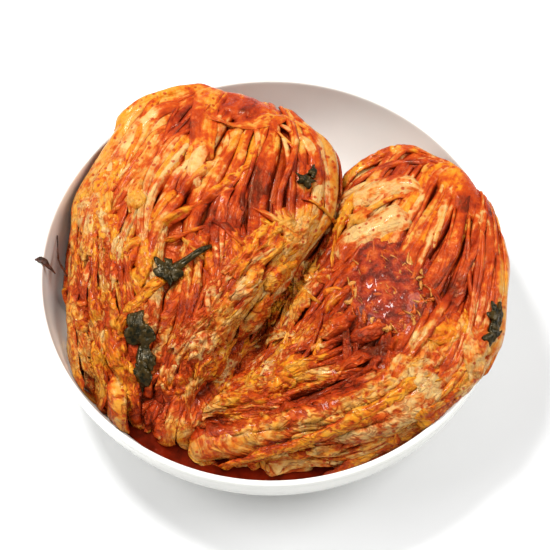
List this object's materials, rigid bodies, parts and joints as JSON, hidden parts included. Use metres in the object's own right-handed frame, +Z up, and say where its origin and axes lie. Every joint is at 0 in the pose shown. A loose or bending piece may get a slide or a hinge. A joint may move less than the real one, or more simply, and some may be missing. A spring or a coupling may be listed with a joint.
{
  "type": "whole-leaf kimchi in a bowl",
  "caption": "Cut halves of whole-leaf cabbage kimchi lying side by side in a round white bowl, with chilli paste, green leaf and a little red brine.",
  "frame": {"origin": "middle of the ring that the bowl stands on, on the surface under it", "axes": "+Z up, +X to the right and +Y to the back, where the two stem ends lie"},
  "size_m": [0.28, 0.28, 0.084],
  "materials": {
    "glaze": "glossy white ceramic glaze",
    "cabbage": "wet cabbage leaf stained with chilli",
    "chilli": "wet chilli paste",
    "greens": "wet dark green leaf",
    "brine": "clear red liquid"
  },
  "bodies": {
    "root": {"bowl": "glaze", "left_head": "cabbage", "right_head": "cabbage", "seasoning_heap": "chilli", "green_leaf_strip": "greens", "green_leaf_clump": "greens", "green_leaf_edge": "greens", "brine_pool": "brine"}
  },
  "joints": []
}
